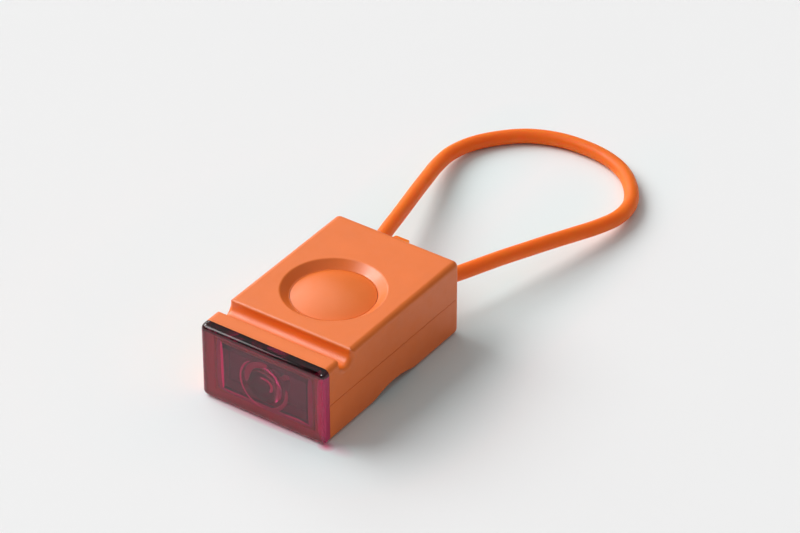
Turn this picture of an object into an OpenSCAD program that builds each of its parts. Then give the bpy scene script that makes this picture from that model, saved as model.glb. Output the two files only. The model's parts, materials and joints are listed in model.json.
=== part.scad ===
// Bike rear light with a red lens cap, a push button and a silicone strap loop.
// The lens faces -Y, the strap leaves the rear wall towards +Y, and z = 0 is the underside.

/* [Housing] */
// Width across the sides
body_w = 28; // [27:0.5:34]
// Length from the lens front to the rear wall
body_l = 43.5; // [43:0.5:50]
// Height of the rear part
body_h = 16.4; // [16:0.1:18]
// Height of the parting line between the two shells, as a share of the housing's height
parting_share = 0.5; // [0.48:0.005:0.51]
// Side and top wall thickness
wall = 1.4; // [1.2:0.1:1.6]
// Floor thickness
floor_t = 1.3; // [1.1:0.1:1.4]
// Rear wall thickness
rear_wall = 2.2; // [2:0.1:2.6]
// Radius of all outer edges
edge_r = 1.2; // [0.8:0.1:1.3]
// Step from the top face down to the ridge and lens
ridge_drop = 0.25; // [0.1:0.05:0.5]

/* [Hook groove] */
// Distance from the lens front to the groove
head_l = 5.3; // [5:0.1:6]
// Width of the groove
groove_w = 3.7; // [3.4:0.1:4.2]
// Depth of the groove under the top face
groove_depth = 2.7; // [2.6:0.1:3.2]
// Radius of the ridge's edge on the groove
ridge_r = 0.4; // [0.4:0.1:0.9]
// Radius of the top face's edge on the groove
lip_r = 0.6; // [0.3:0.1:0.7]
// Radius with which the groove widens at the two sides
flare_r = 1.1; // [1:0.1:1.6]

/* [Saddle] */
// Radius of the saddle under the housing
saddle_r = 18; // [15:0.5:24]
// Depth of the saddle
saddle_depth = 1.9; // [1.2:0.1:2]
// Distance from the lens front to the saddle's middle
saddle_at = 22.1; // [21.8:0.1:22.6]

/* [Lens] */
// Thickness of the lens in front of the seam
lens_t = 1.9; // [1.6:0.1:2.2]
// Width of the frame at each side of the window
window_side = 3.3; // [3:0.1:4]
// Height of the frame over the window
window_roof = 2.85; // [2.65:0.05:3.4]
// Height of the window's lower edge
window_z = 2.5; // [2.4:0.1:2.7]
// Depth of the rim that enters the window
rim_depth = 2.3; // [2:0.1:2.4]
// Thickness of that rim
rim_t = 1.1; // [0.8:0.1:1.4]
// Radius of the collimator dome
collimator_r = 4.1; // [3.6:0.1:4.2]
// Height of the collimator dome
collimator_h = 1.6; // [1.2:0.1:1.8]

/* [Button] */
// Radius of the button
button_r = 8.1; // [7.5:0.1:8.3]
// Distance from the lens front to the button's centre
button_at = 22.6; // [22.2:0.1:22.8]
// Radius of the dish around the button
dish_r = 10; // [9.6:0.1:10.4]
// Depth of the dish
dish_depth = 1.4; // [1:0.1:1.4]
// Radius of the dish's upper edge
dish_edge_r = 0.6; // [0.4:0.1:1.2]
// Height of the button's crown
crown_h = 1.2; // [0.6:0.1:1.3]
// Travel of the button
button_travel = 0.5; // [0.3:0.1:0.5]
// Radius of the button's stem
stem_r = 1.6; // [1.3:0.1:2]

/* [Charging socket] */
// Width of the socket
socket_w = 7.5; // [7:0.1:7.8]
// Height of the socket
socket_h = 2.5; // [2.3:0.1:2.7]
// Depth of the socket
socket_l = 5.2; // [4.8:0.1:5.6]
// Wall of the socket's metal shell
socket_t = 0.3; // [0.25:0.05:0.4]

/* [Port cover] */
// Width of the cover
cover_w = 9.2; // [8.8:0.1:9.4]
// Thickness of the cover
cover_t = 1.0; // [0.8:0.1:1.1]
// Distance of the cover's hinge bead under the parting line
hinge_drop = 1.3; // [1:0.1:1.7]
// Distance of the cover's top edge under the top face
cover_drop = 1.25; // [1.2:0.05:1.4]
// Width of the pull tab
tab_w = 3.4; // [3:0.1:4]
// How far the pull tab stands out
tab_out = 1.5; // [1.2:0.1:2]
// Thickness of the pull tab
tab_t = 1.1; // [0.9:0.1:1.4]

/* [Strap] */
// Diameter of the strap's cord
cord_d = 3.0; // [2.8:0.1:3.1]
// Half the distance between the cord's two exits
strap_x = 7.3; // [7.2:0.1:7.6]
// Height of the cord's exits over the parting line
strap_rise = 0.2; // [0:0.1:0.4]
// Width of the moulded head behind the wall
head_w = 3.8; // [3.6:0.1:4]
// Height of the moulded head
head_h = 4.6; // [4.2:0.1:5]
// Thickness of the moulded head
head_t = 2.2; // [1.8:0.1:2.6]

/* [Electronics] */
// Height of the main board's underside over the parting line
board_rise = 0.4; // [0.3:0.1:0.6]
// Thickness of the boards
board_t = 0.8; // [0.6:0.1:1]
// Gap between the main board and the screw bosses
board_side_gap = 0.4; // [0.3:0.1:0.8]
// Distance of the LED board's sides from the window's sides
led_board_side = 2.7; // [1.6:0.1:3.6]
// Distance of the LED board's upper and lower edges from the window's
led_board_edge = 1.5; // [1.4:0.1:1.9]
// Side of the LED package
led_w = 3.0; // [2.6:0.1:3.2]
// Side of the switch body
switch_w = 5.2; // [4.5:0.1:6]
// Height of the switch body
switch_h = 1.6; // [1.5:0.1:1.7]
// Radius of the switch plunger
plunger_r = 1.2; // [1:0.1:1.4]

/* [Battery] */
// Room between the cell and the strap's heads
cell_room = 3.8; // [2.6:0.1:6]
// Gap between the cell and the screw bosses
cell_side_gap = 0.7; // [0.5:0.1:1.6]
// Thickness of the cell
cell_t = 4.0; // [3.4:0.1:4.2]
// Thickness of the foam pad
pad_t = 0.4; // [0.3:0.1:0.6]
// Diameter of the battery leads
lead_d = 0.8; // [0.6:0.1:1]

/* [Screws] */
// Radius of the screw's shank
screw_r = 0.8; // [0.7:0.05:0.9]
// Radius of the screw's head
screw_head_r = 1.45; // [1.3:0.05:1.6]
// Height of the screw's head
screw_head_h = 1.1; // [0.9:0.1:1.2]
// Depth of the head's seat in the underside
seat_depth = 1.7; // [1.5:0.1:2]
// Length of the shank
screw_l = 10.6; // [9:0.1:11]
// Radius of the screw bosses
boss_r = 1.9; // [1.8:0.1:2]

/* [Fits] */
// Gap around the button
button_gap = 0.1; // [0.1:0.05:0.2]
// Gap around the port cover
cover_gap = 0.2; // [0.15:0.05:0.25]
// Gap around the cord in the rear wall
cord_gap = 0.15; // [0.1:0.05:0.25]
// Gap between fixed pieces
fixed_gap = 0.15; // [0.1:0.05:0.2]

/* [Hidden] */
$fn = 96;
body_colour = [0.93, 0.45, 0.2];
cord_colour = [0.93, 0.42, 0.12];
lens_colour = [0.55, 0.05, 0.15, 0.55];
dark_colour = [0.09, 0.09, 0.1];
metal_colour = [0.78, 0.79, 0.8];
board_colour = [0.08, 0.32, 0.2];
far = 60;
eps = 0.01;

front_y = -(body_l + tab_out) / 2;
rear_y = front_y + body_l;
saddle_y = front_y + saddle_at;
button_y = front_y + button_at;
half_w = body_w / 2;
parting_h = body_h * parting_share;
parting_gap = 0.12;
parting_depth = 0.25;
seam_y = front_y + lens_t;
lens_gap = 0.06;
lens_back_y = seam_y - lens_gap;
head_top = body_h - ridge_drop;
inner_rear_y = rear_y - rear_wall;
inner_half_w = half_w - wall;
ceiling_z = body_h - wall;
frame_t = 1.2;
frame_back_y = seam_y + frame_t;
window_w = body_w - 2 * window_side;
window_h = head_top - window_z - window_roof;
window_mid_z = window_z + window_h / 2;
rebate = 0.6;

groove_r = groove_w / 2;
groove_y = front_y + head_l + groove_r;
groove_z = body_h - groove_depth + groove_r;
groove_wall = 1.2;
groove_back_r = groove_r + groove_wall;

saddle_z = saddle_depth - saddle_r;
bed_z = saddle_depth + floor_t;

dish_z = body_h - dish_depth;
dish_wall = 1.2;
dish_under_z = dish_z - dish_wall;
button_bore_r = button_r + button_gap;
flange_r = button_r + 0.9;
flange_t = 0.6;
flange_top_z = dish_under_z - 0.12;
collar_r = flange_r + 0.4;
collar_t = 1.0;
seal_t = 0.4;
seal_fold_r = 0.5;
seal_fold_t = 0.3;
collar_z = flange_top_z - flange_t - button_travel - 0.1 - seal_fold_r + seal_t;
gasket_w = 0.6;
slot_gap = 0.1;
gasket_h = 0.5;

boss_x = inner_half_w - boss_r + 0.2;
boss_inner_x = boss_x - boss_r;

strap_z = parting_h + strap_rise;
board_z = parting_h + board_rise;
board_top = board_z + board_t;
board_front_y = front_y + head_l + groove_w + 1.6;
board_rear_y = inner_rear_y - 1.6 - head_t;
board_w = 2 * (boss_inner_x - board_side_gap);
tongue_side = 3.2;
tongue_w = 2 * (strap_x - tongue_side);
socket_face_y = inner_rear_y - fixed_gap;
socket_z = board_top + socket_h / 2;
plunger_top = board_top + switch_h + 1.0;
plunger_l = 1.5;
chip_l = 1.6;
chip_w = 0.8;
chip_pitch = 1.8;
chip_row_x = board_w / 2 - 2.1;
chip_inset = 5.5;
chip_front_y = board_front_y + chip_inset;
coil_r = 1.6;
coil_waist = 0.35;
coil_room = 1;
coil_h = collar_z - seal_t - board_top - coil_room;
coil_x = board_w / 2 - 3.4;
controller_x = 3.6 - board_w / 2;

rim_w = window_w - 2 * fixed_gap;
rim_h = window_h - 2 * fixed_gap;
rim_back_y = seam_y + rim_depth;
bezel_y = rim_back_y + fixed_gap;
bezel_t = 0.5;
cup_front_r = collimator_r;
cup_back_r = 2.3;
cup_back_y = groove_y - 0.15;
led_board_y = cup_back_y + 0.2;
led_board_w = window_w - 2 * led_board_side;
led_board_h = window_h - 2 * led_board_edge;
led_wire_x = led_board_w / 2 - 3.8;
led_wire_z = board_top + 1;
led_wire_r = 0.35;
led_wire_bend = 0.8;
led_wire_inset = 1.2;
led_base_t = 0.6;
led_dome_r = 1.1;

hinge_z = parting_h - hinge_drop;
cover_top = body_h - cover_drop;
cover_y = rear_y - cover_t;
bead_r = cover_t - 0.1;
bead_y = rear_y - bead_r;
nose_w = socket_w + 0.3;
nose_h = socket_h + 0.2;
nose_l = rear_wall - cover_t - 0.1;
tab_r = 0.5;

boss_front_y = board_front_y + 0.4;
boss_rear_y = inner_rear_y - head_t - 2.9;
post_x = inner_half_w - 2.1;
post_r = 1.2;
pin_r = 0.5;
post_before_button = 5.4;
post_behind_button = 6.6;
post_front_y = button_y - post_before_button;
post_rear_y = button_y + post_behind_button;

cell_inset = 1.8;
cell_front_y = board_front_y + cell_inset;
cell_l = inner_rear_y - head_t - cell_room - cell_front_y;
cell_w = 2 * (boss_inner_x - cell_side_gap);
cell_z = bed_z + pad_t;
lead_spread = 1.6;

// Right half of the strap: distance outside its exit, distance behind the rear wall, and height
// of the cord's centre, as a share of the exit's height over a cord that lies on the ground.
strap_half = [
    [0, 0.4, 1],
    [1.7, 5.9, 0.913],
    [3.4, 11.7, 0.826],
    [5.0, 17.5, 0.725],
    [6.7, 23.3, 0.609],
    [8.4, 29.1, 0.493],
    [10.1, 34.9, 0.362],
    [11.7, 40.7, 0.232],
    [12.6, 46.6, 0.116],
    [11.7, 52.6, 0.029],
    [8.6, 57.9, 0],
    [4.2, 62.0, 0],
    [-1.3, 64.4, 0]];
strap_tip_y = 65.1;
strap_lie_z = cord_d / 2;
strap_right = [for (p = strap_half)
    [strap_x + p.x, rear_y + p.y, strap_lie_z + p.z * (strap_z - strap_lie_z)]];
strap_left = [for (p = strap_right) [-p.x, p.y, p.z]];
strap_count = len(strap_half);
strap_back = [for (i = [0 : strap_count - 1]) strap_right[strap_count - 1 - i]];
strap_route = concat(strap_left, [[0, rear_y + strap_tip_y, strap_lie_z]], strap_back);
strap_exit = strap_right[0];

// Unit vector along v
function unit(v) = v / norm(v);

// Direction of a route at point i, the mean of the two stretches that meet there
function heading(route, i) =
    i == 0 ? unit(route[1] - route[0]) :
    i == len(route) - 1 ? unit(route[i] - route[i - 1]) :
    unit(unit(route[i] - route[i - 1]) + unit(route[i + 1] - route[i]));

// Points of one ring of radius r round a route's point, square to its direction
function ring(centre, dir, r, sides) =
    let (side = unit(cross(dir, [0, 0, 1])), up = cross(side, dir))
    [for (k = [0 : sides - 1]) centre + r * (cos(360 * k / sides) * side + sin(360 * k / sides) * up)];

// Closed tube of radius r swept along a route, with a ring at each of its points
module tube(route, r, sides) {
    rings = len(route);
    points = [for (i = [0 : rings - 1]) each ring(route[i], heading(route, i), r, sides)];
    sides_faces = [for (i = [0 : rings - 2]) for (k = [0 : sides - 1])
        let (a = i * sides + k, b = i * sides + (k + 1) % sides)
        each [[a, b, b + sides], [a, b + sides, a + sides]]];
    first = [for (k = [1 : sides - 2]) [0, k + 1, k]];
    base = (rings - 1) * sides;
    last = [for (k = [1 : sides - 2]) [base, base + k, base + k + 1]];
    polyhedron(points, concat(sides_faces, first, last));
}

// Children's +Z axis laid along direction d from point p
module along(p, d) {
    translate(p)
        rotate([0, acos(d.z), atan2(d.y, d.x)])
            children();
}

// Children repeated on the other side of the middle plane
module both_sides() {
    children();
    mirror([1, 0, 0])
        children();
}

// Box from its middle in x and from its low corner in y and z
module bar(w, l, h, y, z) {
    translate([-w / 2, y, z])
        cube([w, l, h]);
}

// Outline of width w and height h with rounded corners, standing on y = 0
module rounded_outline(w, h, r) {
    translate([-w / 2, r])
        square([w, h - 2 * r]);
    translate([-w / 2 + r, 0])
        square([w - 2 * r, h]);
    for (x = [-w / 2 + r, w / 2 - r], y = [r, h - r])
        translate([x, y])
            circle(r);
}

// Block as wide and as long as the light, h high, with all its edges and corners rounded
module rounded_block(h) {
    r = edge_r;
    translate([0, rear_y - r, 0])
        rotate([90, 0, 0])
            linear_extrude(body_l - 2 * r)
                rounded_outline(body_w, h, r);
    translate([-half_w + r, front_y + body_l / 2, 0])
        rotate([90, 0, 90])
            linear_extrude(body_w - 2 * r)
                rounded_outline(body_l, h, r);
    for (x = [-half_w + r, half_w - r], y = [front_y + r, rear_y - r])
        translate([x, y, 0]) {
            translate([0, 0, r])
                cylinder(r = r, h = h - 2 * r);
            for (z = [r, h - r])
                translate([0, 0, z])
                    sphere(r);
        }
}

// Children between two planes square to y
module slice(y0, y1) {
    intersection() {
        children();
        bar(body_w + 2, y1 - y0, body_h + 2, y0, -1);
    }
}

// Corner left between a square and the round of radius r at its inner end
module corner_outline(r) {
    difference() {
        square([r, r]);
        translate([r, r])
            circle(r);
    }
}

// Tool that cuts the hook groove, flared where it runs out at the two sides
module groove_cutter() {
    translate([0, groove_y, groove_z]) {
        rotate([0, 90, 0])
            cylinder(r = groove_r, h = body_w + 2, center = true);
        translate([-half_w - 1, -groove_r, 0])
            cube([body_w + 2, groove_w, groove_depth]);
        both_sides()
            groove_flare();
        translate([0, -groove_r, head_top - groove_z])
            lip_cutter(ridge_r, 180);
        translate([0, groove_r, body_h - groove_z])
            lip_cutter(lip_r, 270);
    }
}

// Tool that rounds an edge on the x axis by radius r; turn 180 for a solid at -y, 270 for one at +y
module lip_cutter(r, turn) {
    translate([-half_w - 1, 0, 0])
        rotate([90, 0, 90])
            linear_extrude(body_w + 2)
                rotate(turn)
                    corner_outline(r);
}

// Round widening of the groove at the +x side, round its bottom and up both walls
module groove_flare() {
    translate([half_w, 0, 0]) {
        rotate([0, -90, 0])
            rotate_extrude()
                translate([groove_r, 0])
                    flare_outline();
        for (s = [0, 1])
            mirror([0, s, 0])
                translate([0, groove_r, 0])
                    rotate([0, 0, 90])
                        linear_extrude(groove_depth)
                            flare_outline();
    }
}

// Outline between a wall, at x = 0, and the side face, at y = 0, outside the edge's round
module flare_outline() {
    difference() {
        translate([-0.2, -0.2])
            square([flare_r + 0.2, flare_r + 0.2]);
        translate([flare_r, flare_r])
            circle(flare_r);
    }
}

// Outer form of both shells: rear part, lower head, groove, dish and saddle
module housing_form() {
    difference() {
        union() {
            slice(groove_y, rear_y + 1)
                rounded_block(body_h);
            slice(seam_y, groove_y + eps)
                rounded_block(head_top);
        }
        groove_cutter();
        dish_cutter();
        saddle_cutter();
    }
}

// Tool for the dish: a shallow cone with a rounded upper edge
module dish_cutter() {
    foot = button_bore_r + 0.15;
    slope = atan2(dish_depth, dish_r - foot);
    reach = dish_edge_r * tan(slope / 2);
    translate([0, button_y, 0])
        rotate_extrude()
            difference() {
                polygon([
                    [0, dish_z],
                    [foot, dish_z],
                    [dish_r - reach * cos(slope), body_h - reach * sin(slope)],
                    [dish_r + reach, body_h],
                    [dish_r + reach, body_h + 1],
                    [0, body_h + 1]]);
                translate([dish_r + reach, body_h - dish_edge_r])
                    circle(dish_edge_r);
            }
}

// Tool for the saddle: a cylinder across the underside
module saddle_cutter() {
    translate([0, saddle_y, saddle_z])
        rotate([0, 90, 0])
            cylinder(r = saddle_r, h = body_w + 2, center = true, $fn = 180);
}

// Space inside the shells, clear of the groove, the dish and the saddle
module cavity() {
    difference() {
        bar(2 * inner_half_w, inner_rear_y - frame_back_y, ceiling_z - floor_t, frame_back_y, floor_t);
        translate([0, groove_y, groove_z]) {
            rotate([0, 90, 0])
                cylinder(r = groove_back_r, h = body_w, center = true);
            bar(body_w, 2 * groove_back_r, groove_depth + 1, -groove_back_r, 0);
        }
        translate([0, button_y, dish_under_z])
            cylinder(r = dish_r + 0.4, h = body_h);
        translate([0, saddle_y, saddle_z])
            rotate([0, 90, 0])
                cylinder(r = saddle_r + floor_t, h = body_w, center = true, $fn = 180);
    }
}

// Window behind the lens, with the rebate for its gasket
module window_cutter() {
    bar(window_w, frame_t + 2, window_h, seam_y - 1, window_z);
    bar(window_w + 2 * rebate, rebate + 1, window_h + 2 * rebate, seam_y - 1, window_z - rebate);
}

// Holes for the cord through the rear wall, along the cord's own direction
module cord_holes(gap) {
    both_sides()
        along(strap_exit, -heading(strap_right, 0))
            translate([0, 0, -2])
                cylinder(r = cord_d / 2 + gap, h = rear_wall + 4);
}

// Recess for the port cover with its bead groove, and the hole for its plug
module port_cutter() {
    w = cover_w + 2 * cover_gap;
    bar(w, cover_t + 1, cover_top + cover_gap - hinge_z, cover_y, hinge_z);
    translate([0, bead_y, hinge_z])
        rotate([0, 90, 0])
            cylinder(r = bead_r + cover_gap, h = w, center = true);
    bar(w, 3, bead_r + cover_gap, bead_y, hinge_z - bead_r - cover_gap);
    port_hole(0.25);
}

// Hole of the charging port, grown by a gap all round
module port_hole(gap) {
    w = nose_w + 2 * gap;
    h = nose_h + 2 * gap;
    translate([0, inner_rear_y - 1, socket_z])
        rotate([-90, 0, 0])
            linear_extrude(rear_wall + 2)
                translate([0, -h / 2])
                    rounded_outline(w, h, h / 2 - 0.4);
}

// Places of the four screws, and of the four board posts
module at_screws() {
    for (s = [-1, 1], y = [boss_front_y, boss_rear_y])
        translate([s * boss_x, y, 0])
            children();
}
module at_posts() {
    for (s = [-1, 1], y = [post_front_y, post_rear_y])
        translate([s * post_x, y, 0])
            children();
}

// Upper shell with its screw bosses and the collar round the button
module upper_shell() {
    color(body_colour)
        difference() {
            union() {
                difference() {
                    housing_form();
                    cavity();
                    window_cutter();
                }
                intersection() {
                    housing_form();
                    union() {
                        at_screws()
                            cylinder(r = boss_r, h = body_h - 1);
                        translate([0, button_y, collar_z])
                            cylinder(r = collar_r + collar_t, h = dish_under_z - collar_z + eps);
                    }
                }
            }
            translate([-far / 2, -far / 2, -1])
                cube([far, far, parting_h + 1]);
            translate([0, button_y, 0])
                cylinder(r = collar_r, h = dish_under_z);
            translate([0, button_y, 0])
                cylinder(r = button_bore_r, h = body_h + 1);
            at_screws()
                cylinder(r = screw_r + 0.02, h = seat_depth + screw_l + 0.4);
            cord_holes(cord_gap);
            port_cutter();
        }
}

// Posts that carry the main board, each with a pin through the board's ear
module board_posts() {
    difference() {
        at_posts() {
            translate([0, 0, floor_t / 2])
                cylinder(r = post_r, h = board_z - floor_t / 2);
            translate([0, 0, board_z - eps])
                cylinder(r = pin_r, h = board_t + 0.4);
        }
        saddle_cutter();
    }
}

// Two ribs on the floor with a slot that holds the lower edge of the LED board
module board_rack() {
    low = window_mid_z - led_board_h / 2;
    difference() {
        both_sides()
            translate([led_board_w / 2 - 2.4, led_board_y - 1, floor_t / 2])
                cube([1.2, board_t + 2, low + 1 - floor_t / 2]);
        bar(led_board_w + 1, board_t + 2 * slot_gap, led_board_h, led_board_y - slot_gap, low);
    }
}

// Lower shell with the saddle, battery ribs, board posts and screw bosses
module lower_shell() {
    color(body_colour) {
        board_posts();
        board_rack();
        difference() {
            union() {
                difference() {
                    housing_form();
                    cavity();
                    window_cutter();
                }
                intersection() {
                    housing_form();
                    union() {
                        at_screws()
                            cylinder(r = boss_r, h = parting_h);
                        for (x = [-1, 1])
                            translate([x * cell_w / 3 - 0.4, cell_front_y, 0])
                                cube([0.8, cell_l, bed_z]);
                    }
                }
            }
            translate([-far / 2, -far / 2, parting_h])
                cube([far, far, far]);
            at_screws() {
                translate([0, 0, -1])
                    cylinder(r = screw_head_r + 0.2, h = seat_depth + 1);
                cylinder(r = screw_r + 0.12, h = parting_h + 1);
            }
            gasket_form();
            parting_groove();
            cord_holes(cord_gap);
            port_cutter();
        }
    }
}

// Fine groove round the lower shell's edge, which shows as the parting line
module parting_groove() {
    difference() {
        bar(body_w + 2, body_l, parting_gap, seam_y, parting_h - parting_gap);
        translate([0, front_y, 0])
            linear_extrude(body_h)
                translate([0, parting_depth])
                    rounded_outline(body_w - 2 * parting_depth, body_l - 2 * parting_depth,
                        edge_r - parting_depth);
    }
}

// Strip of the shell gasket, in the rim of the lower shell along the sides and the rear
module gasket_form() {
    inset = (wall - gasket_w) / 2;
    l = rear_y - cover_t - inset - frame_back_y;
    difference() {
        bar(body_w - 2 * inset, l, gasket_h, frame_back_y, parting_h - gasket_h);
        bar(body_w - 2 * inset - 2 * gasket_w, l - gasket_w + 1, body_h, frame_back_y - 1, 0);
        bar(2 * strap_x, rear_wall + 2, body_h, inner_rear_y - 1, 0);
    }
}

// Gasket on both sides, ending at the cord's holes
module shell_gasket() {
    color(dark_colour)
        difference() {
            gasket_form();
            cord_holes(cord_gap + fixed_gap);
        }
}

// Self-tapping screw with a pan head and a six-sided drive, head down
module shell_screws() {
    color(metal_colour)
        at_screws()
            difference() {
                union() {
                    translate([0, 0, seat_depth - screw_head_h])
                        cylinder(r = screw_head_r, h = screw_head_h);
                    translate([0, 0, seat_depth - eps])
                        cylinder(r = screw_r, h = screw_l);
                }
                translate([0, 0, seat_depth - screw_head_h - 1])
                    cylinder(r = 0.75, h = 1.6, $fn = 6);
            }
}

// Lens cap: front block, rim in the window and a convex collimator behind the middle
module lens() {
    color(lens_colour) {
        slice(front_y - 1, lens_back_y)
            rounded_block(head_top);
        difference() {
            bar(rim_w, rim_back_y - lens_back_y + eps, rim_h, lens_back_y - eps, window_z + fixed_gap);
            bar(rim_w - 2 * rim_t, rim_depth + 1, rim_h - 2 * rim_t, lens_back_y,
                window_z + fixed_gap + rim_t);
        }
        collimator();
    }
}

// Dome of the collimator, bulging towards the LED
module collimator() {
    sphere_r = (collimator_r * collimator_r + collimator_h * collimator_h) / (2 * collimator_h);
    translate([0, lens_back_y - eps, window_mid_z])
        rotate([-90, 0, 0])
            rotate_extrude()
                intersection() {
                    translate([0, collimator_h - sphere_r])
                        circle(sphere_r);
                    square([collimator_r, collimator_h + eps]);
                }
}

// Square-section ring in the window's rebate
module lens_gasket() {
    color(dark_colour)
        difference() {
            bar(window_w + 2 * rebate - 2 * fixed_gap, rebate + lens_gap,
                window_h + 2 * rebate - 2 * fixed_gap, lens_back_y, window_z - rebate + fixed_gap);
            bar(window_w - fixed_gap, 3, window_h - fixed_gap, seam_y - 1, window_z + fixed_gap / 2);
        }
}

// Dark frame behind the lens with a cone that narrows to the LED
module bezel() {
    cup_l = cup_back_y - bezel_y;
    color(dark_colour)
        difference() {
            union() {
                bar(rim_w, bezel_t, rim_h, bezel_y, window_z + fixed_gap);
                translate([0, bezel_y, window_mid_z])
                    rotate([-90, 0, 0])
                        cylinder(r1 = cup_front_r + 0.3, r2 = cup_back_r + 0.5, h = cup_l);
                for (s = [-1, 1])
                    translate([s * rim_w * 0.36 - 0.5, bezel_y, window_z + 1])
                        cube([1, led_board_y - bezel_y, rim_h / 2]);
            }
            translate([0, bezel_y - eps, window_mid_z])
                rotate([-90, 0, 0])
                    cylinder(r1 = cup_front_r, r2 = cup_back_r, h = cup_l + 2 * eps);
        }
}

// Upright board of the LED
module led_board() {
    color([0.85, 0.86, 0.85])
        difference() {
            bar(led_board_w, board_t, led_board_h, led_board_y, window_mid_z - led_board_h / 2);
            for (x = [-led_wire_x, led_wire_x])
                translate([x, led_board_y - 1, led_wire_z])
                    rotate([-90, 0, 0])
                        cylinder(r = led_wire_r + 0.1, h = board_t + 2);
        }
}

// Flat base of the LED
module led_package() {
    color([0.95, 0.94, 0.88])
        bar(led_w, led_base_t, led_w, led_board_y - led_base_t, window_mid_z - led_w / 2);
}

// Clear dome over the LED's die
module led_dome() {
    color([0.95, 0.9, 0.6, 0.7])
        translate([0, led_board_y - led_base_t, window_mid_z])
            rotate([90, 0, 0])
                rotate_extrude()
                    intersection() {
                        circle(led_dome_r);
                        square([led_dome_r, led_dome_r]);
                    }
}

// Round wire of radius r: along y from y0 to y1, a quarter bend of radius bend, then to height z1
module bent_wire(x, y0, z0, y1, z1, r, bend) {
    up = z1 > z0 ? 1 : -1;
    translate([x, y0, z0])
        rotate([-90, 0, 0])
            cylinder(r = r, h = y1 - bend - y0, $fn = 24);
    translate([x, y1 - bend, z0 + up * bend])
        rotate([0, 90, 0])
            rotate([0, 0, up > 0 ? 0 : 90])
                rotate_extrude(angle = 90, $fn = 48)
                    translate([bend, 0])
                        circle(r, $fn = 24);
    translate([x, y1, min(z0 + up * bend, z1)])
        cylinder(r = r, h = abs(z1 - z0) - bend, $fn = 24);
}

// Two wires from the LED board over the front edge of the main board
module led_wires() {
    color([0.75, 0.1, 0.1])
        for (x = [-led_wire_x, led_wire_x])
            bent_wire(x, led_board_y + board_t, led_wire_z, board_front_y + led_wire_inset, board_top,
                led_wire_r, led_wire_bend);
}

// Main board with ears on the posts and a tongue that carries the socket
module main_board() {
    color(board_colour)
        translate([0, 0, board_z])
            linear_extrude(board_t)
                difference() {
                    union() {
                        translate([-board_w / 2, board_front_y])
                            square([board_w, board_rear_y - board_front_y]);
                        translate([-tongue_w / 2, board_front_y])
                            square([tongue_w, socket_face_y - 0.4 - board_front_y]);
                        for (y = [post_front_y, post_rear_y]) {
                            translate([-post_x, y - 1.5])
                                square([2 * post_x, 3]);
                            for (s = [-1, 1])
                                translate([s * post_x, y])
                                    circle(1.5);
                        }
                    }
                    for (s = [-1, 1], y = [post_front_y, post_rear_y])
                        translate([s * post_x, y])
                            circle(pin_r + 0.1);
                }
}

// Block that stands on the main board
module on_board(x, y, size) {
    translate([x - size.x / 2, y - size.y / 2, board_top])
        cube(size);
}

module controller_chip() {
    color(dark_colour)
        on_board(controller_x, chip_front_y, [4, 4, 0.9]);
}

// Round coil of the charger with its flanges
module charger_coil() {
    color([0.3, 0.28, 0.27])
        translate([coil_x, chip_front_y, board_top])
            rotate_extrude()
                polygon([
                    [0, 0],
                    [coil_r, 0],
                    [coil_r, coil_h / 4],
                    [coil_r - coil_waist, coil_h * 3 / 8],
                    [coil_r - coil_waist, coil_h * 5 / 8],
                    [coil_r, coil_h * 3 / 4],
                    [coil_r, coil_h],
                    [0, coil_h]]);
}

// Capacitors and resistors in two rows beside the switch, and two in front of the socket
module small_parts() {
    color([0.72, 0.62, 0.5]) {
        for (s = [-1, 1], i = [0 : 3])
            on_board(s * chip_row_x, button_y - 1.5 + chip_pitch * i, [chip_l, chip_w, s < 0 ? 0.7 : 0.5]);
        for (s = [-1, 1])
            on_board(s * 1.5, socket_face_y - socket_l - 1 - chip_l / 2, [chip_w, chip_l, 0.6]);
    }
}

module charge_light() {
    color([0.9, 0.95, 0.85, 0.8])
        on_board(board_w / 2 - 2.8, board_rear_y - 1.4, [chip_w, chip_l, 0.7]);
}

// Push switch body with the bore for its plunger
module switch_body() {
    color([0.15, 0.15, 0.16])
        difference() {
            on_board(0, button_y, [switch_w, switch_w, switch_h]);
            translate([0, button_y, plunger_top - plunger_l - button_travel - 0.1])
                cylinder(r = plunger_r + 0.1, h = 4);
        }
}

module switch_plunger() {
    color([0.9, 0.88, 0.84])
        translate([0, button_y, plunger_top - plunger_l])
            cylinder(r = plunger_r, h = plunger_l);
}

// Button: low crown, skirt with a flange under the shell, and the stem over the plunger
module button_cap() {
    crown_r = (button_r * button_r + crown_h * crown_h) / (2 * crown_h);
    low = flange_top_z - flange_t;
    color(body_colour)
        translate([0, button_y, 0])
            rotate_extrude($fn = 128) {
                intersection() {
                    translate([0, dish_z + crown_h - crown_r])
                        circle(crown_r, $fn = 360);
                    translate([0, low])
                        square([button_r, dish_z + crown_h - low + 1]);
                }
                translate([0, low])
                    square([flange_r, flange_t]);
                translate([0, plunger_top + 0.05])
                    square([stem_r, low - plunger_top]);
            }
}

// Silicone diaphragm under the button with one round fold
module button_seal() {
    fold_at = (collar_r + stem_r) / 2;
    color([0.25, 0.25, 0.26])
        translate([0, button_y, collar_z - seal_t])
            rotate_extrude()
                difference() {
                    union() {
                        translate([stem_r + 0.3, 0])
                            square([collar_r + collar_t - stem_r - 0.3, seal_t]);
                        translate([fold_at, 0])
                            circle(seal_fold_r);
                    }
                    translate([fold_at, 0])
                        circle(seal_fold_r - seal_fold_t);
                    translate([0, -1])
                        square([collar_r * 2, 1]);
                }
}

// Pouch cell with the folded seam at its front
module battery_cell() {
    color([0.74, 0.76, 0.78]) {
        bar(cell_w, cell_l, cell_t, cell_front_y, cell_z);
        bar(cell_w - 2, 0.8, 0.5, cell_front_y - 0.8, cell_z + cell_t - 0.9);
    }
}

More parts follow.
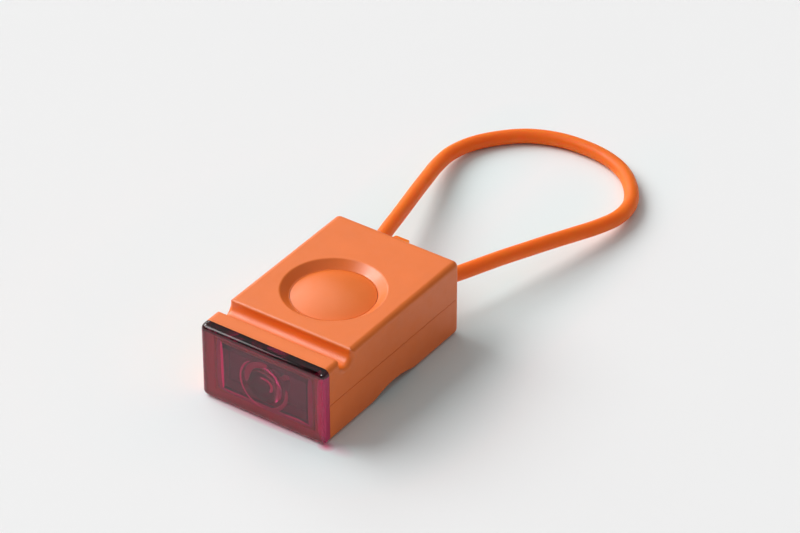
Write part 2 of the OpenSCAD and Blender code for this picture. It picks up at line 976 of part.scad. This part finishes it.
module battery_pad() {
    color([0.3, 0.3, 0.32])
        bar(cell_w - 1, cell_l - 2, pad_t, cell_front_y + 1, bed_z);
}

// Lead from the front of the cell up to the main board
module battery_lead(x) {
    start = cell_front_y;
    translate([0, 2 * start, 0])
        mirror([0, 1, 0])
            bent_wire(x, start, cell_z + cell_t / 2, start + 1.4, board_z, lead_d / 2, 0.7);
}

module battery_lead_red() {
    color([0.8, 0.08, 0.06])
        battery_lead(-lead_spread / 2);
}

module battery_lead_black() {
    color([0.05, 0.05, 0.05])
        battery_lead(lead_spread / 2);
}

// Metal shell of the charging socket, open to the rear, with bevelled lower corners
module socket_shell() {
    color(metal_colour)
        translate([0, socket_face_y, board_top])
            rotate([90, 0, 0])
                difference() {
                    linear_extrude(socket_l)
                        socket_outline(0);
                    translate([0, 0, -1])
                        linear_extrude(socket_l + 0.4)
                            socket_outline(socket_t);
                }
}

// Outline of the socket, drawn in by t
module socket_outline(t) {
    bevel = 0.8;
    w = socket_w / 2 - t;
    polygon([
        [-w, bevel + t / 2],
        [-w + bevel, t],
        [w - bevel, t],
        [w, bevel + t / 2],
        [w, socket_h - t],
        [-w, socket_h - t]]);
}

// Insulating tongue of the socket
module socket_tongue() {
    color(dark_colour) {
        bar(socket_w - 4.2, socket_l - 1.1, 0.6, socket_face_y - socket_l + 0.6, socket_z + 0.1);
        bar(socket_w - 2.4, 0.8, socket_h - 2 * socket_t - 0.1, socket_face_y - socket_l + 0.6,
            board_top + socket_t + 0.05);
    }
}

// Silicone cover: flap, hinge bead, plug that fills the port, and pull tab
module port_cover() {
    color(cord_colour) {
        bar(cover_w, cover_t, cover_top - hinge_z, cover_y, hinge_z);
        translate([0, bead_y, hinge_z])
            rotate([0, 90, 0])
                cylinder(r = bead_r, h = cover_w, center = true);
        intersection() {
            port_hole(0);
            bar(cover_w, nose_l + cover_t / 2, 2 * nose_h, cover_y - nose_l, socket_z - nose_h);
        }
        translate([0, rear_y - eps, cover_top - tab_t])
            linear_extrude(tab_t) {
                translate([-tab_w / 2, 0])
                    square([tab_w, tab_out - tab_r]);
                translate([tab_r - tab_w / 2, 0])
                    square([tab_w - 2 * tab_r, tab_out]);
                for (s = [-1, 1])
                    translate([s * (tab_w / 2 - tab_r), tab_out - tab_r])
                        circle(tab_r);
            }
    }
}

// Moulded heads behind the rear wall, each with the stub of cord that runs through it
module strap_ends() {
    dir = heading(strap_right, 0);
    back = (strap_exit.y - inner_rear_y) / dir.y;
    inner = strap_exit - back * dir;
    color(cord_colour)
        both_sides() {
            along(inner - 0.8 * dir, dir)
                cylinder(r = cord_d / 2, h = back + 0.8);
            translate([inner.x - head_w / 2 - 0.15, inner_rear_y - fixed_gap - head_t, inner.z - head_h / 2])
                cube([head_w, head_t, head_h]);
        }
}

// Free loop of the strap
module strap_loop() {
    color(cord_colour)
        tube(strap_route, cord_d / 2, 8);
}

upper_shell();
lower_shell();
shell_gasket();
shell_screws();
lens();
lens_gasket();
bezel();
led_board();
led_package();
led_dome();
led_wires();
main_board();
controller_chip();
charger_coil();
small_parts();
charge_light();
switch_body();
switch_plunger();
button_cap();
button_seal();
battery_cell();
battery_pad();
battery_lead_red();
battery_lead_black();
socket_shell();
socket_tongue();
port_cover();
strap_ends();
strap_loop();
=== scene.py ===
"""Bike rear light with a red lens cap, a push button and a silicone strap loop, set on a pale floor."""

import json
import math

import bpy
import numpy as np
from mathutils import Matrix, Vector


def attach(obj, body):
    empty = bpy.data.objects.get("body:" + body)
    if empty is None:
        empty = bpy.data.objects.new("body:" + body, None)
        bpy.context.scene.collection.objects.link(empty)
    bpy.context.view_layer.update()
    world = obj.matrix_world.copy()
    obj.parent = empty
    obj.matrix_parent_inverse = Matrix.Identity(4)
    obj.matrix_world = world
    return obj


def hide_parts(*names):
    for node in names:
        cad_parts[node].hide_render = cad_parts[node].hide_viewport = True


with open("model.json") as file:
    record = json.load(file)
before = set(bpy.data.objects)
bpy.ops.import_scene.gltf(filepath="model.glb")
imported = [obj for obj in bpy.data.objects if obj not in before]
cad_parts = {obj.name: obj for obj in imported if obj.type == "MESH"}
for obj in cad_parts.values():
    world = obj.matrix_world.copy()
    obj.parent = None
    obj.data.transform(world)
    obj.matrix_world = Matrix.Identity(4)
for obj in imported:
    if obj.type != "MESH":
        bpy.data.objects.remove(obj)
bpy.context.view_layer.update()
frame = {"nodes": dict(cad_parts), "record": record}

NODES = frame["nodes"]
MM = 0.001

# The camera fitted to the photograph: the way it looks, its place along its own right, up and back
# from a point on the middle plane, and its lens and sensor in mm
CAMERA_AZIMUTH = math.radians(34.93)
CAMERA_ELEVATION = math.radians(35.07)
CAMERA_SIDE = 12.75 * MM
CAMERA_LIFT = 17.95 * MM
CAMERA_DISTANCE = 702.56 * MM
CAMERA_TARGET_Y = -0.75 * MM
CAMERA_LENS = 169.16
CAMERA_SENSOR = 36
CAMERA_CLIP = (0.01, 20)


def make_camera():
    """A camera at the photograph's viewing angle: right, up and back are its own three directions."""
    a, e = CAMERA_AZIMUTH, CAMERA_ELEVATION
    right = Vector((math.cos(a), math.sin(a), 0))
    back = Vector((math.sin(a) * math.cos(e), -math.cos(a) * math.cos(e), math.sin(e)))
    up = back.cross(right)
    place = right * CAMERA_SIDE + up * CAMERA_LIFT + back * CAMERA_DISTANCE
    place.y += CAMERA_TARGET_Y
    data = bpy.data.cameras.new("camera")
    data.lens = CAMERA_LENS
    data.sensor_width = CAMERA_SENSOR
    data.clip_start, data.clip_end = CAMERA_CLIP
    camera = bpy.data.objects.new("camera", data)
    turn = Matrix((right, up, back)).transposed().to_4x4()
    camera.matrix_world = Matrix.Translation(place) @ turn
    bpy.context.scene.collection.objects.link(camera)
    bpy.context.scene.camera = camera


make_camera()


class Finish:
    """One procedural material: the shader, and short calls that add textures in Object coordinates."""

    def __init__(self, name, colour, roughness, **constants):
        self.material = bpy.data.materials.new(name)
        self.material.use_nodes = True
        self.tree = self.material.node_tree
        self.shader = self.tree.nodes["Principled BSDF"]
        self.colour = colour
        self.shader.inputs["Base Color"].default_value = (*colour, 1)
        self.shader.inputs["Roughness"].default_value = roughness
        for socket, value in constants.items():
            self.shader.inputs[socket.replace("_", " ")].default_value = value
        self.place = self.node("ShaderNodeTexCoord").outputs["Object"]

    def node(self, kind, inputs=None, **settings):
        """Adds a node. Each input is another node's output, which is linked, or a plain value."""
        made = self.tree.nodes.new(kind)
        for key, value in settings.items():
            setattr(made, key, value)
        for key, value in (inputs or {}).items():
            if isinstance(value, bpy.types.NodeSocket):
                self.tree.links.new(value, made.inputs[key])
            else:
                made.inputs[key].default_value = value
        return made

    def link(self, source, socket):
        """Lets a texture drive a socket of the shader."""
        self.tree.links.new(source, self.shader.inputs[socket])

    def along(self, axis):
        """The place along one axis of the object, in metres."""
        return self.node("ShaderNodeSeparateXYZ", {"Vector": self.place}).outputs[axis]

    def noise(self, size, detail, stretch=(1, 1, 1)):
        """Noise whose lumps are about size metres across."""
        placed = self.place
        if stretch != (1, 1, 1):
            placed = self.node("ShaderNodeMapping", {"Vector": placed, "Scale": stretch}).outputs["Vector"]
        made = self.node("ShaderNodeTexNoise", {"Vector": placed, "Scale": 1 / size, "Detail": detail})
        return made.outputs["Fac"]

    def fade(self, place):
        """1 in the middle of a place's coordinates, down to 0 at a distance of 1 from it."""
        made = self.node("ShaderNodeTexGradient", {"Vector": place}, gradient_type="SPHERICAL")
        return made.outputs["Fac"]

    def spread(self, source, low, high, start=0.3, end=0.7):
        """Maps start..end of a texture to low..high."""
        made = self.node("ShaderNodeMapRange", {
            "Value": source, "From Min": start, "From Max": end, "To Min": low, "To Max": high})
        return made.outputs["Result"]

    def mix(self, share, first, second, blend="MIX"):
        """Colour that runs from first, where share is 0, to second, or to their product."""
        made = self.node("ShaderNodeMix", data_type="RGBA", blend_type=blend, inputs={
            0: share, 6: first, 7: second})
        return made.outputs[2]

    def tint(self, source, dark, light):
        """Base colour that runs from dark to light times the finish's own colour."""
        ends = [(*[min(1, c * share) for c in self.colour], 1) for share in (dark, light)]
        made = self.mix(source, *ends)
        self.link(made, "Base Color")
        return made

    def bump(self, source, depth):
        """Raises the surface by a texture, depth metres high."""
        made = self.node("ShaderNodeBump", {"Height": source, "Strength": 1, "Distance": depth})
        self.link(made.outputs["Normal"], "Normal")


# Size of the lumps in a moulded skin's colour and of those in its roughness
FLOW_SIZE = 9 * MM
SATIN_SIZE = 2.5 * MM
# Width and height of the grain or lines in metal
LINE_WIDTH = 0.12 * MM
LINE_HEIGHT = 0.004 * MM
# Painted shade on the lens's top edge: the heights where it darkens, and the share of its colour that is left
# there
PAINTED_LENS_SHADE_HEIGHTS = (14.85 * MM, 15.1 * MM)
PAINTED_LENS_SHADE_SHARE = 0.1
# Where the lens's ends turn satin, by distance from the middle, and its clearness and roughness before
# and after that
LENS_ENDS = (13.1 * MM, 13.9 * MM)
LENS_CLEARNESS = (0.96, 0.3)
LENS_ROUGHNESS = (0.02, 0.3)


def moulded(name, colour, roughness, grain=0.2 * MM, depth=0.006 * MM, cloud=0.03, sheen=0.08, **constants):
    """A moulded skin: fine spark grain, a faint cloud of flow in the colour, and a roughness that drifts."""
    made = Finish(name, colour, roughness, **constants)
    made.tint(made.spread(made.noise(FLOW_SIZE, 4), 0, 1), 1 - cloud, 1 + cloud)
    made.link(made.spread(made.noise(SATIN_SIZE, 5), roughness - sheen, roughness + sheen), "Roughness")
    made.bump(made.noise(grain, 2), depth)
    return made.material


def drawn(name, colour, roughness, stretch=(1, 1, 1)):
    """Metal: fine noise shows in colour, roughness and height, as lines where it is stretched."""
    made = Finish(name, colour, roughness, Metallic=1.0)
    lines = made.noise(LINE_WIDTH, 3, stretch)
    made.tint(made.spread(lines, 0, 1), 0.85, 1.08)
    made.link(made.spread(lines, roughness - 0.1, roughness + 0.15), "Roughness")
    made.bump(lines, LINE_HEIGHT)
    return made.material


def red_lens():
    """Polished red lens: clear, with a faint flow of the moulding in its surface. The rounded top edge
    carries painted shade, darkened by height to nearly black, and the ends are satin."""
    made = Finish("red_lens", (0.62, 0.012, 0.13), 0.03, Transmission_Weight=1.0, IOR=1.58)
    # painted shade: above these heights the colour falls to a small share of itself
    made.tint(made.spread(made.along("Z"), 1, 0, *PAINTED_LENS_SHADE_HEIGHTS), PAINTED_LENS_SHADE_SHARE, 1)
    made.bump(made.noise(6 * MM, 2), 0.003 * MM)
    from_middle = made.node("ShaderNodeMath", {0: made.along("X")}, operation="ABSOLUTE").outputs[0]
    made.link(made.spread(from_middle, *LENS_CLEARNESS, *LENS_ENDS), "Transmission Weight")
    cloud = made.spread(made.noise(12 * MM, 2), 0, 0.02)
    satin = made.spread(from_middle, *LENS_ROUGHNESS, *LENS_ENDS)
    both = made.node("ShaderNodeMath", {0: cloud, 1: satin}, operation="ADD").outputs[0]
    made.link(both, "Roughness")
    return made.material


def clear_resin():
    """Cast resin: water clear, with a faint yellow."""
    made = Finish("clear_resin", (0.95, 0.93, 0.8), 0.03, Transmission_Weight=1.0, IOR=1.5)
    made.bump(made.noise(2 * MM, 2), 0.01 * MM)
    return made.material


def painted_glow(name, colour, strength):
    """Satin red strips in the lens with a painted glow: their emission stands in for the lines of light that
    the lens gathers.
    """
    made = Finish(name, colour, 0.4, Emission_Color=(1, 0.01, 0.5, 1), Emission_Strength=strength)
    made.bump(made.noise(0.3 * MM, 2), 0.01 * MM)
    made.link(made.spread(made.noise(0.8 * MM, 3), 0.3, 0.5), "Roughness")
    return made.material


FINISHES = {
    "housing": moulded(
        "orange_housing", (0.86, 0.170, 0.012), 0.4, grain=0.16 * MM, depth=0.008 * MM,
        Specular_IOR_Level=0.6),
    "orange_silicone": moulded(
        "orange_silicone", (0.9, 0.175, 0.008), 0.5, grain=0.1 * MM, depth=0.003 * MM,
        Specular_IOR_Level=0.3, Subsurface_Weight=0.8, Subsurface_Radius=(1, 0.2, 0.04),
        Subsurface_Scale=3 * MM),
    "seal": moulded("black_seal", (0.03, 0.03, 0.032), 0.6),
    "screw_steel": drawn("zinc_screws", (0.62, 0.62, 0.6), 0.35),
    "black_plastic": moulded("black_mouldings", (0.028, 0.028, 0.031), 0.5),
    "white_board": moulded("white_solder_mask", (0.78, 0.78, 0.75), 0.35),
    "led_ceramic": moulded("light_package", (0.82, 0.8, 0.7), 0.45, grain=0.08 * MM),
    "red_wire": moulded("red_insulation", (0.5, 0.02, 0.02), 0.4),
    "black_wire": moulded("black_insulation", (0.02, 0.02, 0.022), 0.4),
    "green_board": moulded("green_solder_mask", (0.02, 0.16, 0.07), 0.35, cloud=0.12),
    "ferrite": moulded("ferrite", (0.08, 0.075, 0.07), 0.7, grain=0.12 * MM, depth=0.02 * MM),
    "ceramic_parts": moulded("ceramic_parts", (0.45, 0.33, 0.22), 0.5),
    "white_plastic": moulded("switch_plunger", (0.75, 0.73, 0.68), 0.4),
    "pouch_foil": drawn("pouch_foil", (0.62, 0.63, 0.64), 0.4),
    "foam": moulded("grey_foam", (0.06, 0.06, 0.065), 0.95, grain=0.35 * MM, depth=0.12 * MM),
    "socket_steel": drawn("nickel_socket", (0.7, 0.7, 0.68), 0.28, (1, 0.08, 1)),
    "red_lens": red_lens(),
    "clear_resin": clear_resin(),
    # Painted glow: emissive finishes for the strips in the lens, which are no lamps
    "bright_painted_glow": painted_glow("bright_painted_glow", (0.9, 0.03, 0.4), 0.16),
    "soft_painted_glow": painted_glow("soft_painted_glow", (0.7, 0.03, 0.28), 0.07),
    "faint_painted_glow": painted_glow("faint_painted_glow", (0.45, 0.025, 0.18), 0.015),
}
# The bezel is greyer than the other black mouldings: painted light, which lifts the inside where it shows
# through the lens
OWN_FINISH = {"bezel": moulded("dark_bezel", (0.13, 0.11, 0.11), 0.35)}

for part in frame["record"]["subparts"]:
    node = NODES[part["node"]]
    node.data.materials.clear()
    node.data.materials.append(OWN_FINISH.get(part["node"], FINISHES[part["material_slot"]]))

REAR_WALL_Y = 21.0
CORD_DIAMETER = 3.0 * MM
# Points of the strap's right half in mm, y from the rear wall, and the tip of the loop
STRAP_SIDE = [
    [7.3, 0.4, 8.4], [9.0, 5.9, 7.8], [10.7, 11.7, 7.2], [12.3, 17.5, 6.5], [14.0, 23.3, 5.7],
    [15.7, 29.1, 4.9], [17.4, 34.9, 4.0], [19.0, 40.7, 3.1], [19.9, 46.6, 2.3], [19.0, 52.6, 1.7],
    [15.9, 57.9, 1.5], [11.5, 62.0, 1.5], [6.0, 64.4, 1.5],
]
STRAP_TIP = [0, 65.1, 1.5]
STRAP_STEPS = 10
STRAP_ROUNDING = 10


def smooth_route(points, steps):
    """A curve through the points: each span is a cubic whose ends lean along the line between its
    neighbours."""
    points = np.asarray(points, float)
    before = np.vstack([2 * points[0] - points[1], points, 2 * points[-1] - points[-2]])
    lean = (before[2:] - before[:-2]) / 2
    t = np.linspace(0, 1, steps, endpoint=False)[:, None]
    start, end = points[:-1, None, :], points[1:, None, :]
    lean_start, lean_end = lean[:-1, None, :], lean[1:, None, :]
    spans = (
        (2 * t**3 - 3 * t**2 + 1) * start + (t**3 - 2 * t**2 + t) * lean_start
        + (3 * t**2 - 2 * t**3) * end + (t**3 - t**2) * lean_end
    )
    return np.vstack([spans.reshape(-1, 3), points[-1:]])


def strap_loop():
    """One silicone cord from the left hole round the loop to the right hole."""
    right = np.array(STRAP_SIDE)
    left = right * (-1, 1, 1)
    route = np.vstack([left, [STRAP_TIP], right[::-1]]) + (0, REAR_WALL_Y, 0)
    line = smooth_route(route * MM, STRAP_STEPS)
    curve = bpy.data.curves.new("strap_cord", "CURVE")
    curve.dimensions = "3D"
    curve.bevel_depth = CORD_DIAMETER / 2
    curve.bevel_resolution = STRAP_ROUNDING
    curve.use_fill_caps = True
    spline = curve.splines.new("POLY")
    spline.points.add(len(line) - 1)
    spline.points.foreach_set("co", np.column_stack([line, np.ones(len(line))]).ravel())
    cord = bpy.data.objects.new("strap_cord", curve)
    bpy.context.scene.collection.objects.link(cord)
    curve.materials.append(FINISHES["orange_silicone"])
    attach(cord, "housing")
    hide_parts("strap_loop")


strap_loop()

# Strips with a painted glow in the lens, in mm, standing in for its lines of light. They lie in three planes:
# the lens's back face, one just inside it and one near its front. The ring's middle is taken from the
# window's middle.
LENS_BACK_Y = -20.66
BEAD_Y = -20.8
SIDE_BEAD_Y = -21.5
WINDOW_MIDDLE_Z = 7.9
RING_MIDDLE = (-0.15, -0.4)
RING_RADIUS = 5.2
RING_POINTS = 14
BEAD_STEPS = 12
BEAD_SIDES = 12
BEAD_LEAST = 1e-4


def ring_arc(start, end):
    """Points of the ring from one angle to another, in degrees: x and z from the window's middle."""
    turn = np.radians(np.linspace(start, end, RING_POINTS))
    return np.array(RING_MIDDLE) + RING_RADIUS * np.stack([np.cos(turn), np.sin(turn)], 1)


def bead(name, route, width, depth, y):
    """A flat bead along a smooth route in the plane at y: at t along it, the section is an ellipse width wide
    across the route and depth deep, both times swell(t), the square root of 1 - (2 t - 1)^4, which narrows
    the bead to a small cap at both ends."""
    route = np.asarray(route, float)
    heights = WINDOW_MIDDLE_Z + route[:, 1]
    line = smooth_route(np.stack([route[:, 0], np.full(len(route), y), heights], 1), BEAD_STEPS)
    ahead = np.gradient(line, axis=0)
    ahead /= np.linalg.norm(ahead, axis=1)[:, None]
    across = np.stack([-ahead[:, 2], np.zeros(len(line)), ahead[:, 0]], 1)
    t = np.linspace(0, 1, len(line))
    swell = np.maximum(1 - (2 * t - 1) ** 4, BEAD_LEAST) ** 0.5
    v = np.linspace(0, 2 * math.pi, BEAD_SIDES, endpoint=False)[None, :, None]
    offset = across[:, None, :] * (width / 2 * np.cos(v)) + np.array([0, 1, 0]) * (depth / 2 * np.sin(v))
    points = (line[:, None, :] + offset * swell[:, None, None]) * MM
    rows, columns = points.shape[:2]
    i, j = np.meshgrid(np.arange(rows - 1), np.arange(columns), indexing="ij")
    up = (j + 1) % columns
    faces = np.stack([i * columns + j, (i + 1) * columns + j, (i + 1) * columns + up, i * columns + up], -1)
    caps = [list(range(columns)), list(range((rows - 1) * columns, rows * columns))[::-1]]
    mesh = bpy.data.meshes.new(name)
    mesh.from_pydata(points.reshape(-1, 3).tolist(), [], faces.reshape(-1, 4).tolist() + caps)
    mesh.shade_smooth()
    made = bpy.data.objects.new(name, mesh)
    bpy.context.scene.collection.objects.link(made)
    return made


# Name, route from the window's middle, width, depth, plane, finish
PAINTED_GLOW_STRIPS = (
    ("lens_painted_glow_left", [(-9.6, 5.6), (-9.52, 2), (-9.45, -2), (-9.35, -5.0)],
     0.6, 0.2, BEAD_Y, "bright_painted_glow"),
    ("lens_painted_glow_left_wide", [(-10.1, 5.9), (-10.05, 2), (-10, -2), (-9.95, -5.6)],
     1.5, 0.1, LENS_BACK_Y, "faint_painted_glow"),
    ("lens_painted_glow_right_wide", [(10.35, -5.6), (10.4, -2), (10.4, 2), (10.35, 5.6)],
     1.2, 0.1, LENS_BACK_Y, "faint_painted_glow"),
    ("lens_painted_glow_low_wide", [(-10, -5.3), (-4, -5.35), (4, -5.35), (10.4, -5.3)],
     0.9, 0.1, LENS_BACK_Y, "faint_painted_glow"),
    ("lens_painted_glow_low_left", [(-9.4, -5.0), (-7, -5.1), (-4.0, -5.03)],
     0.4, 0.2, BEAD_Y, "soft_painted_glow"),
    ("lens_painted_glow_low_right", [(4.5, -5.1), (6.2, -4.98), (8.2, -4.95), (10.4, -5.2)],
     0.4, 0.2, BEAD_Y, "soft_painted_glow"),
    ("lens_painted_glow_ring", ring_arc(125, 270), 0.42, 0.2, BEAD_Y, "soft_painted_glow"),
    ("lens_painted_glow_ring_right", ring_arc(262, 372), 0.8, 0.2, LENS_BACK_Y, "faint_painted_glow"),
    ("lens_painted_glow_crescent", [(-4.1, -1.1), (-3.7, 1.2), (-2.7, 2.9), (-1.0, 3.8), (0.8, 4.3)],
     1.3, 0.2, LENS_BACK_Y, "faint_painted_glow"),
    ("lens_painted_glow_hook", [(-0.9, 1.0), (0.6, 0.95), (1.6, 0.2), (1.65, -0.8), (1.2, -1.5)],
     0.6, 0.2, LENS_BACK_Y, "soft_painted_glow"),
    ("lens_painted_glow_side", [(12.9, -6.2), (12.95, -3), (12.95, 2), (12.9, 6.8)],
     1.5, 0.7, SIDE_BEAD_Y, "soft_painted_glow"),
)

# Each strip gets a finish with a painted glow
for name, route, width, depth, y, finish in PAINTED_GLOW_STRIPS:
    made = bead(name, route, width, depth, y)
    made.data.materials.append(FINISHES[finish])
    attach(made, "housing")

# How far the floor reaches each way, its shade, and the size and the range of its faint mottle
FLOOR_REACH = 4.0
FLOOR_GREY = 0.885
FLOOR_MOTTLE = 0.2
FLOOR_MOTTLE_SHARES = (0.995, 1.005)
# Soft patches of the floor's colour: middle, radii in mm, and the colour there. The first five keep the
# orange that the object throws on the paper faint, the others are the red light under the lens.
FLOOR_PATCHES = (
    (-19, 7, 45, 58, (0.91, 0.99, 1)),
    (13, 37, 19, 68, (0.84, 1, 1)),
    (-16, 54, 15, 46, (0.84, 1, 1)),
    (15, -4, 23, 33, (0.81, 0.98, 1)),
    (-20, -8, 13, 22, (0.9, 1, 1)),
    (1, -22.4, 15, 1.2, (1, 0.55, 0.65)),
    (14.1, -22.1, 1.9, 1.5, (1, 0.25, 0.4)),
    (16.6, -21.6, 3.6, 2, (1, 0.8, 0.86)),
)


def flat_sheet(name, corners, material):
    """One flat face of the set, which is no part of the object."""
    mesh = bpy.data.meshes.new(name)
    mesh.from_pydata([tuple(corner) for corner in corners], [], [(0, 1, 2, 3)])
    mesh.materials.append(material)
    sheet = bpy.data.objects.new(name, mesh)
    bpy.context.scene.collection.objects.link(sheet)
    return sheet


def make_floor():
    """A plain pale floor, large enough to fill the view. Only the camera sees its patches: the light that
    it throws back stays plain."""
    made = Finish("floor_paper", (FLOOR_GREY,) * 3, 0.8)
    plain = made.tint(made.spread(made.noise(FLOOR_MOTTLE, 2), 0, 1), *FLOOR_MOTTLE_SHARES)
    colour = plain
    for x, y, across, along, patch in FLOOR_PATCHES:
        placed = made.node("ShaderNodeMapping", {
            "Vector": made.place, "Scale": (1 / (across * MM), 1 / (along * MM), 1),
            "Location": (-x / across, -y / along, 0)})
        colour = made.mix(made.fade(placed.outputs["Vector"]), colour, (*patch, 1), "MULTIPLY")
    seen = made.node("ShaderNodeLightPath").outputs["Is Camera Ray"]
    made.link(made.mix(seen, plain, colour), "Base Color")
    corners = [(x * FLOOR_REACH, y * FLOOR_REACH, 0) for x, y in ((-1, -1), (1, -1), (1, 1), (-1, 1))]
    flat_sheet("floor", corners, made.material)


# Sine of the elevation where the sky starts and ends to brighten, and its strength at both
SKY_RAMP = (0.45, 0.95, 0.19, 0.52)
# Name, energy, angle in degrees and the way to it. Only gloss shows a light whose name ends in gloss,
# and gloss doesn't show the key.
SUNS = (
    ("key", 2.32, 45, (-0.76, -0.17, 0.70)),
    ("key_gloss", 2.35, 27, (-0.75, -0.24, 0.70)),
    ("left_strip", 0.68, 40, (-0.92, 0.18, 0.40)),
    ("rear_left", 0.33, 24, (-0.74, 0.52, 0.46)),
    ("haze_gloss", 0.36, 30, (-0.5, 0.44, 0.74)),
    ("corner_gloss", 1.1, 20, (0.3, -0.6, 0.74)),
)
# The card of light: the way to it from a point on the lens's top edge, its distance, its up, its ends
# along its side, half its height, its bright middle along its side, how far it fades and its strength
PANEL_WAY = Vector((-0.469, -0.575, 0.671))
PANEL_FOOT = Vector((-13, -22, 15.6)) * MM
PANEL_REACH = 350 * MM
PANEL_UP = Vector((0, 0.76, 0.651))
PANEL_SIDE = (-100 * MM, 40 * MM)
PANEL_HALF_HEIGHT = 120 * MM
PANEL_MIDDLE = -46 * MM
PANEL_FADE = (64 * MM, 120 * MM)
PANEL_STRENGTH = 12
# The lights that shine on some nodes alone
LIT_ALONE = {
    "haze_gloss": ("upper_shell", "lower_shell", "button_cap"),
    "corner_gloss": ("lens",),
    "gloss_panel": ("lens", "upper_shell"),
}


def light_alone(light):
    """Keeps a light off all but its own nodes."""
    lit = bpy.data.collections.new("lit_by_" + light.name)
    for node in LIT_ALONE[light.name]:
        lit.objects.link(NODES[node])
    light.light_linking.receiver_collection = lit


def make_panel():
    """A small card of light that fades from its middle outwards. Only gloss shows it: it draws the short
    line along the lens's top edge."""
    side = PANEL_WAY.cross(PANEL_UP)
    side = -side if side.x < 0 else side
    middle = PANEL_FOOT + PANEL_WAY * PANEL_REACH
    made = Finish("gloss_panel", (0, 0, 0), 1)
    bright = tuple(middle + side * PANEL_MIDDLE)
    offset = made.node("ShaderNodeVectorMath", {0: made.place, 1: bright}, operation="SUBTRACT").outputs[0]
    steps = [
        made.node("ShaderNodeVectorMath", {0: offset, 1: tuple(way / size)}, operation="DOT_PRODUCT")
        for way, size in zip((side, PANEL_UP), PANEL_FADE)]
    flat = made.node("ShaderNodeCombineXYZ", {
        axis: step.outputs["Value"] for axis, step in zip("XY", steps)}).outputs[0]
    made.shader.inputs["Emission Color"].default_value = (1, 1, 1, 1)
    made.link(made.spread(made.fade(flat), 0, PANEL_STRENGTH, 0, 1), "Emission Strength")
    left, right = PANEL_SIDE
    low, high = -PANEL_HALF_HEIGHT, PANEL_HALF_HEIGHT
    corners = [middle + side * a + PANEL_UP * b for a, b in (
        (left, low), (right, low), (right, high), (left, high))]
    panel = flat_sheet("gloss_panel", corners, made.material)
    for kind in ("camera", "diffuse", "transmission", "shadow"):
        setattr(panel, "visible_" + kind, False)
    light_alone(panel)


def make_light():
    """Wide suns, most of them from the left, under a sky that is brighter overhead."""
    world = bpy.data.worlds.new("studio")
    bpy.context.scene.world = world
    world.use_nodes = True
    tree = world.node_tree
    sky = tree.nodes["Background"]
    sky.inputs["Color"].default_value = (1, 1, 1, 1)
    height = tree.nodes.new("ShaderNodeSeparateXYZ")
    tree.links.new(tree.nodes.new("ShaderNodeTexCoord").outputs["Generated"], height.inputs[0])
    level = tree.nodes.new("ShaderNodeMapRange")
    tree.links.new(height.outputs["Z"], level.inputs["Value"])
    for socket, value in zip(("From Min", "From Max", "To Min", "To Max"), SKY_RAMP):
        level.inputs[socket].default_value = value
    tree.links.new(level.outputs["Result"], sky.inputs["Strength"])
    for name, energy, angle, direction in SUNS:
        sun = bpy.data.lights.new(name, "SUN")
        sun.energy = energy
        sun.angle = math.radians(angle)
        lamp = bpy.data.objects.new(name, sun)
        bpy.context.scene.collection.objects.link(lamp)
        lamp.rotation_mode = "QUATERNION"
        lamp.rotation_quaternion = Vector(direction).to_track_quat("Z", "Y")
        lamp.visible_glossy = name != "key"
        lamp.visible_diffuse = not name.endswith("gloss")
        lamp.visible_transmission = not name.endswith("gloss")
        if name in LIT_ALONE:
            light_alone(lamp)


make_floor()
make_light()
make_panel()
bpy.context.scene.view_settings.view_transform = "Standard"
